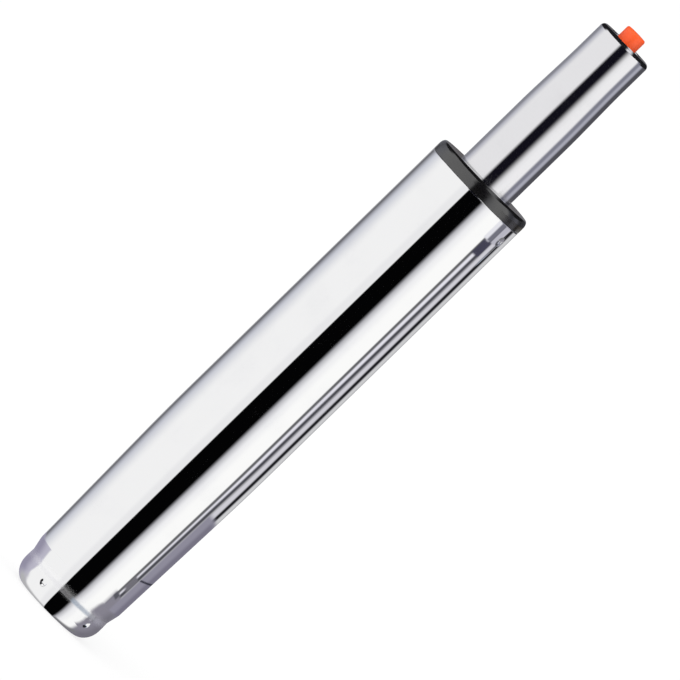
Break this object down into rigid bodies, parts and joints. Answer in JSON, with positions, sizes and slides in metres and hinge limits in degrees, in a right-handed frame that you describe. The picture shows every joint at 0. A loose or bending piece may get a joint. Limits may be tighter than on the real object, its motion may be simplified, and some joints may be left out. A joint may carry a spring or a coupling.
{
  "type": "chair gas lift cylinder",
  "caption": "Chromed chair gas lift: tapered outer column with a black collar, sliding gas spring tube with a seat cone, thrust bearing, and a release button on top.",
  "frame": {"origin": "middle of the bottom rim of the outer column, on the surface that it stands on", "axes": "+Z along the cylinder's axis towards the release button; X and Y across it, with -Y facing the viewer of the picture"},
  "size_m": [0.05, 0.05, 0.344],
  "materials": {
    "chrome_shell": "bright chrome plate on drawn steel tube",
    "black_plastic": "moulded black nylon, half gloss",
    "orange_plastic": "moulded orange plastic, half gloss",
    "dark_steel": "turned or stamped steel, dark",
    "zinc_steel": "stamped steel, zinc plated",
    "bearing_steel": "ground hardened steel with a film of grease",
    "ball_steel": "polished steel balls",
    "rod_steel": "ground and polished rod",
    "drawn_steel": "drawn precision tube",
    "aluminium": "turned",
    "brass": "turned",
    "cage_plastic": "moulded nylon, amber",
    "pale_plastic": "moulded bearing plastic",
    "black_rubber": "moulded rubber"
  },
  "bodies": {
    "column": {"outer_column": "chrome_shell", "guide_bush": "black_plastic", "base_cup": "dark_steel", "lower_race": "bearing_steel"},
    "cage": {"ball_cage": "cage_plastic", "bearing_balls": "ball_steel"},
    "rod": {"piston_rod": "rod_steel", "upper_race": "bearing_steel", "buffer": "black_rubber", "retaining_washer": "zinc_steel", "retaining_clip": "dark_steel", "piston": "aluminium", "piston_seal": "black_rubber", "piston_ring": "pale_plastic"},
    "spring": {"spring_tube": "chrome_shell", "inner_cylinder": "drawn_steel", "end_washer": "zinc_steel", "rod_guide": "pale_plastic", "rod_seal": "black_rubber", "seal_support": "pale_plastic", "valve_body": "brass", "valve_seal": "black_rubber", "spigot_seal": "black_rubber", "pin_seals": "black_rubber", "valve_retainer": "zinc_steel"},
    "button": {"release_button": "orange_plastic", "valve_pin": "rod_steel"}
  },
  "joints": [
    {"name": "swivel", "type": "hinge", "parent": "column", "child": "rod", "pos_m": [0, 0, 0.0124], "axis": [0, 0, 1], "continuous": true},
    {"name": "cage_spin", "type": "hinge", "parent": "column", "child": "cage", "pos_m": [0, 0, 0.0124], "axis": [0, 0, 1], "continuous": true},
    {"name": "height", "type": "slide", "parent": "rod", "child": "spring", "axis": [0, 0, 1], "range_m": [0, 0.14]},
    {"name": "button_press", "type": "slide", "parent": "spring", "child": "button", "axis": [0, 0, -1], "range_m": [0, 0.005], "stiffness_N_per_m": 1500, "springref_m": -0.01}
  ],
  "couplings": [
    {"joint": "cage_spin", "follows": "swivel", "ratio": 0.5}
  ]
}
